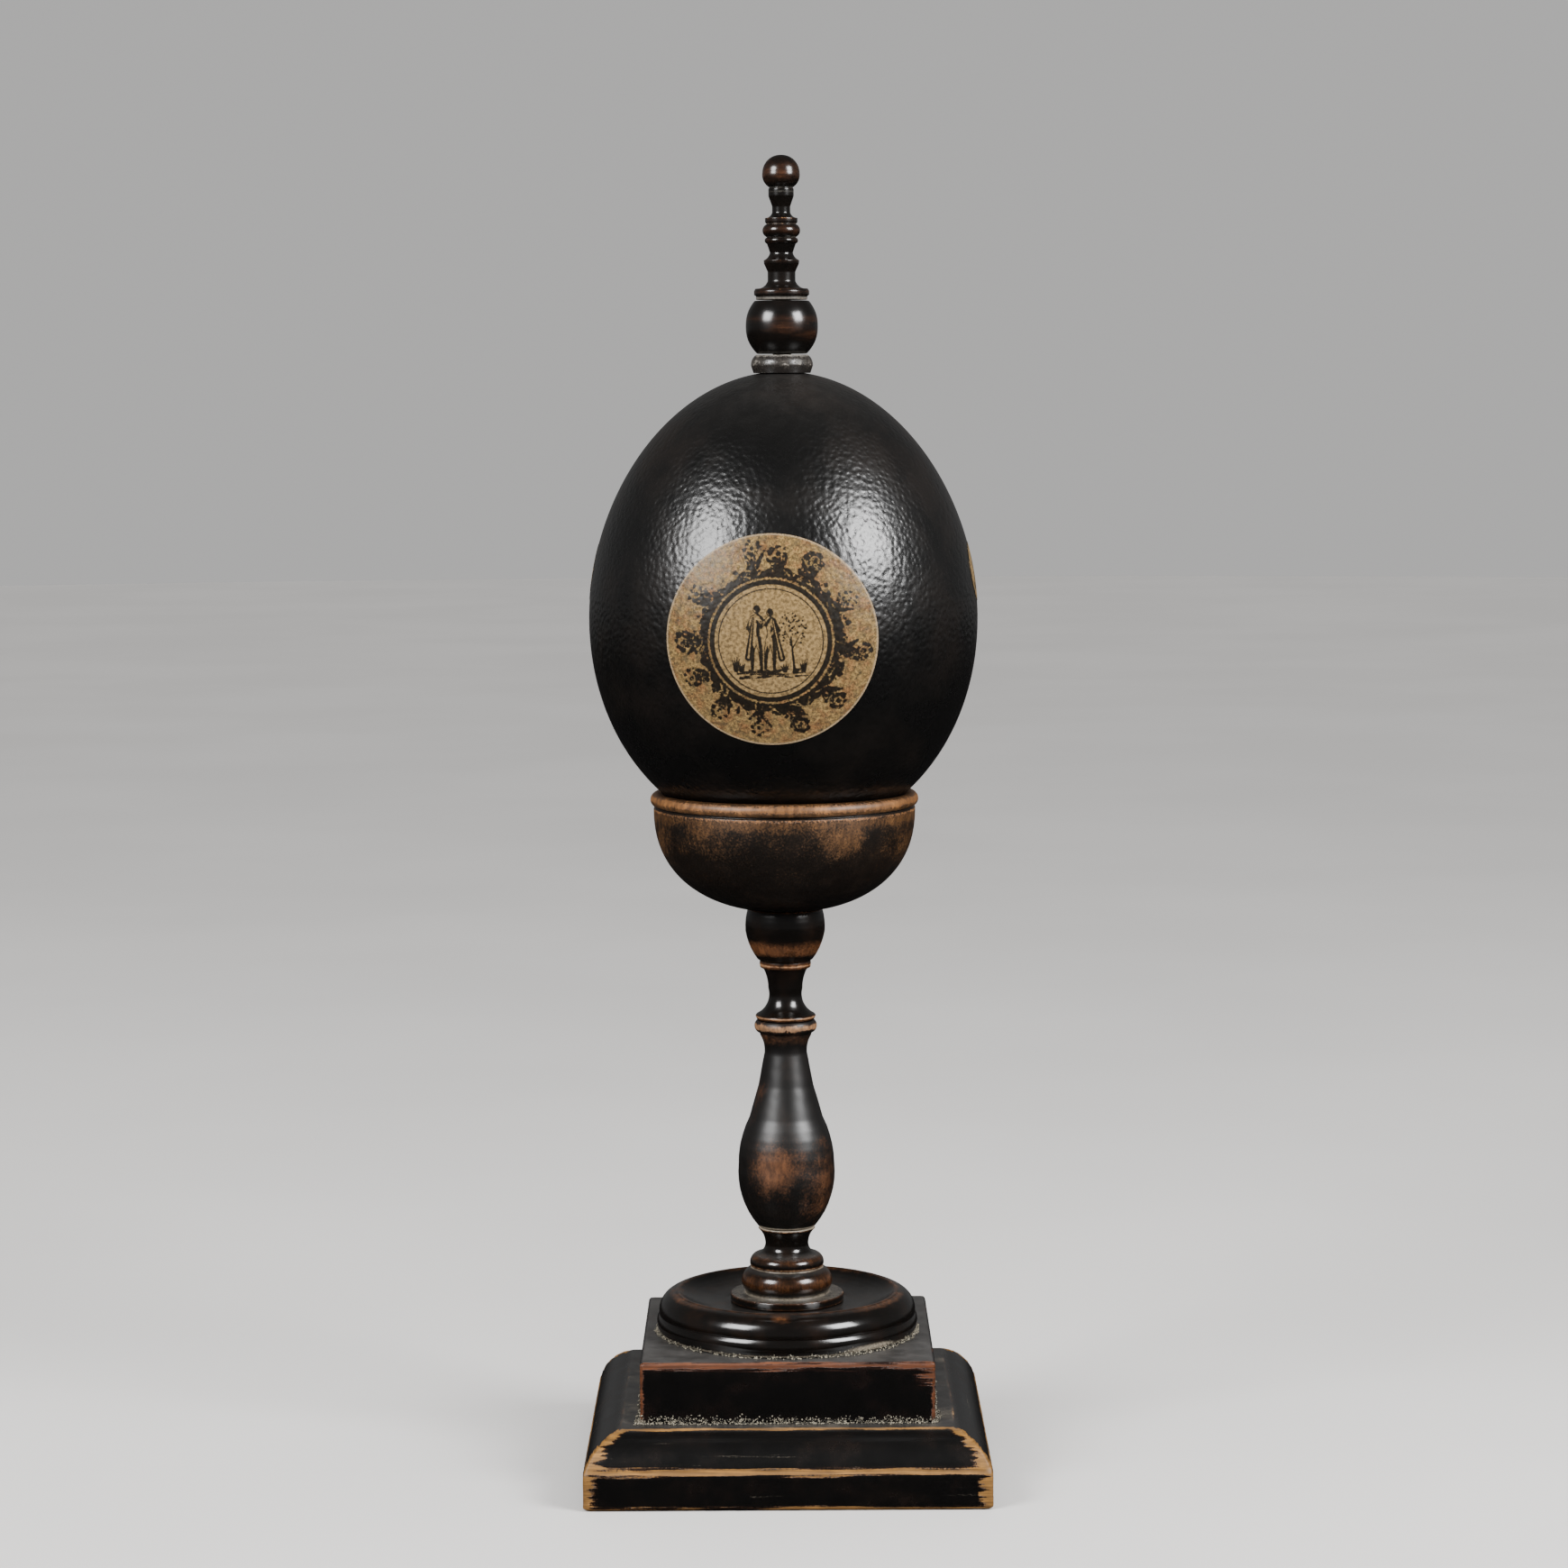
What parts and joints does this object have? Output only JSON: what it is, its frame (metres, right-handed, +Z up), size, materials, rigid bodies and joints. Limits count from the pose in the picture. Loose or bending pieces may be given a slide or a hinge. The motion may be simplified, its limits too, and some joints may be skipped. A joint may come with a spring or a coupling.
{
  "type": "ostrich egg on a turned wooden stand",
  "caption": "Blackened ostrich egg resting in a turned wooden cup on a baluster stem, dished foot and stepped square plinth, with a turned finial.",
  "frame": {"origin": "middle of the plinth's underside, on the surface it stands on", "axes": "+Z up along the stem; +X to the right and -Y towards the viewer, square to the plinth's sides"},
  "size_m": [0.1338, 0.1338, 0.4395],
  "materials": {
    "plinth_wood": "black stain, rubbed through to bare wood along the edges",
    "turned_wood": "glossy black-brown stain, worn brown on the swellings",
    "cup_wood": "worn brown with dark mottling, rim rubbed bare",
    "egg_shell": "blackened eggshell, finely pitted, satin, with printed tan roundels",
    "finial_wood": "glossy dark brown stain, dusty in the grooves"
  },
  "bodies": {
    "root": {"lower_plinth": "plinth_wood", "upper_plinth": "plinth_wood", "dished_foot": "turned_wood", "stem_foot": "turned_wood", "stem_vase": "turned_wood", "stem_knop": "turned_wood", "egg_cup": "cup_wood", "ostrich_egg": "egg_shell", "finial_collar": "finial_wood", "finial_ball": "finial_wood", "finial_spire": "finial_wood"}
  },
  "joints": []
}
